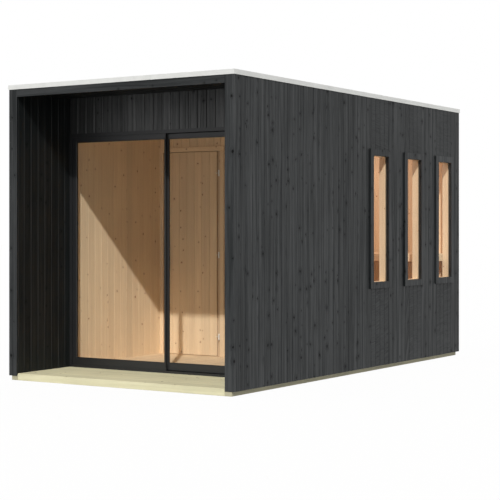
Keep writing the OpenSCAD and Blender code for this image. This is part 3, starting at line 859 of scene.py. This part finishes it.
def build_hinges():
    """Barrel hinges: two fixed knuckles with arms to the jamb, and a middle one with an arm to the leaf.

    The knuckles' rounded ends reach past the gaps between them, so neighbours overlap by 1.5 mm.
    """
    fixed, moving = bmesh.new(), bmesh.new()
    up = Vector((0, 0, 1))
    for (low, high), (wing_low, wing_high) in zip(islands("inner_door_hinges"), islands("inner_hinge_wings")):
        axis = Vector((low.x + BARREL_RADIUS, (low.y + high.y) / 2, 0))
        for z in (low.z, high.z - KNUCKLE):
            turned(fixed, axis + up * z, axis + up * (z + KNUCKLE), BARREL_RADIUS, BARREL_EASE)
            middle = axis + up * (z + KNUCKLE / 2)
            turned(fixed, middle, Vector((high.x, middle.y, middle.z)), FIXED_ARM_RADIUS, FIXED_ARM_EASE)
        stubs = ((low.z + KNUCKLE / 2, wing_low.z - PIN_SHORT),
                 (wing_high.z + PIN_SHORT, high.z - KNUCKLE / 2))
        for foot, tip in stubs:
            turned(fixed, axis + up * foot, axis + up * tip, PIN_RADIUS, PIN_EASE)
    for low, high in islands("inner_hinge_wings"):
        axis = Vector((high.x - BARREL_RADIUS, low.y + BARREL_RADIUS, 0))
        turned(moving, axis + up * low.z, axis + up * high.z, BARREL_RADIUS, BARREL_EASE)
        middle = Vector((low.x, high.y - MOVING_ARM_RADIUS, (low.z + high.z) / 2))
        turned(moving, Vector((axis.x, middle.y, middle.z)), middle, MOVING_ARM_RADIUS, MOVING_ARM_EASE)
    settle(finish_bmesh(fixed, "hinge_barrels", STEEL), nodes=["inner_door_hinges"])
    settle(finish_bmesh(moving, "hinge_arms", STEEL), "inner_door", ["inner_hinge_wings"])


# ---- camera, light and floor ----
def build_camera():
    data = bpy.data.cameras.new("camera")
    data.lens, data.sensor_width = CAMERA_LENS, 36.0
    data.shift_y = CAMERA_SHIFT_Y
    data.clip_end = 200.0
    camera = bpy.data.objects.new("camera", data)
    camera.location = CAMERA_PLACE
    camera.rotation_euler = (math.pi / 2, 0.0, CAMERA_TURN)
    bpy.context.scene.collection.objects.link(camera)
    bpy.context.scene.camera = camera


def white_to_the_eye(g):
    """1 for camera, glossy and transmission rays, which see the pale studio, and 0 for others."""
    ray = g.add("ShaderNodeLightPath").outputs
    seen = g.math("MAXIMUM", ray["Is Camera Ray"], ray["Is Glossy Ray"])
    return g.math("MAXIMUM", seen, ray["Is Transmission Ray"])


def build_room_lamp():
    """A soft warm lamp under the sauna ceiling, so that the room shows through its windows."""
    low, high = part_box("ceiling")
    data = bpy.data.lights.new("room_lamp", "AREA")
    data.energy = ROOM_LAMP_POWER
    data.color = ROOM_LAMP_COLOUR
    data.shape, data.size = "SQUARE", ROOM_LAMP_SIZE
    lamp = bpy.data.objects.new("room_lamp", data)
    lamp.location = ((low.x + high.x) / 2, (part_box("partition")[1].y + high.y) / 2, low.z - ROOM_LAMP_DROP)
    bpy.context.scene.collection.objects.link(lamp)


def build_light():
    data = bpy.data.lights.new("sun", "SUN")
    data.energy = SUN_STRENGTH
    data.angle = SUN_ANGLE
    data.color = SUN_COLOUR
    sun = bpy.data.objects.new("sun", data)
    sun.rotation_euler = SUN_TRAVEL.to_track_quat("-Z", "Y").to_euler()
    bpy.context.scene.collection.objects.link(sun)
    build_room_lamp()
    world = bpy.data.worlds.new("studio")
    world.use_nodes = True
    g = Graph(world.node_tree)
    background = world.node_tree.nodes["Background"]
    g.feed(background.inputs["Strength"], g.remap(white_to_the_eye(g), 0.0, 1.0, SKY_LEVEL, 1.0))
    background.inputs["Color"].default_value = (1, 1, 1, 1)
    bpy.context.scene.world = world
    bpy.context.scene.view_settings.view_transform = "Standard"


def build_floor():
    """A wide floor that looks white to the eye and takes the shadow."""
    bm = bmesh.new()
    corners = ((-1, -1), (1, -1), (1, 1), (-1, 1))
    bm.faces.new([bm.verts.new((x * FLOOR_REACH, y * FLOOR_REACH, 0.0)) for x, y in corners])
    material, g, shader = start_material("studio_floor")
    shader.inputs["Base Color"].default_value = (0.6, 0.6, 0.6, 1)
    shader.inputs["Roughness"].default_value = 0.9
    glow = g.add("ShaderNodeEmission", None, {"Color": (1, 1, 1, 1), "Strength": 1.06})
    share = g.math("MULTIPLY", white_to_the_eye(g), 0.88)
    both = g.add("ShaderNodeMixShader", None, {0: share, 1: shader.outputs[0], 2: glow.outputs[0]})
    g.feed(material.node_tree.nodes["Material Output"].inputs["Surface"], both.outputs[0])
    finish_bmesh(bm, "studio_floor", material)


build_camera()
build_light()
build_floor()
cutter = window_cutter()
finish_cad_nodes()
clad_walls(cutter)
line_porch()
line_rooms(cutter)
line_partition()
bpy.data.objects.remove(cutter)
frame_porch_mouth()
build_base()
build_sashes()
build_windows()
build_roof()
build_bench()
build_inner_door()
frame_inner_door()
build_hinges()
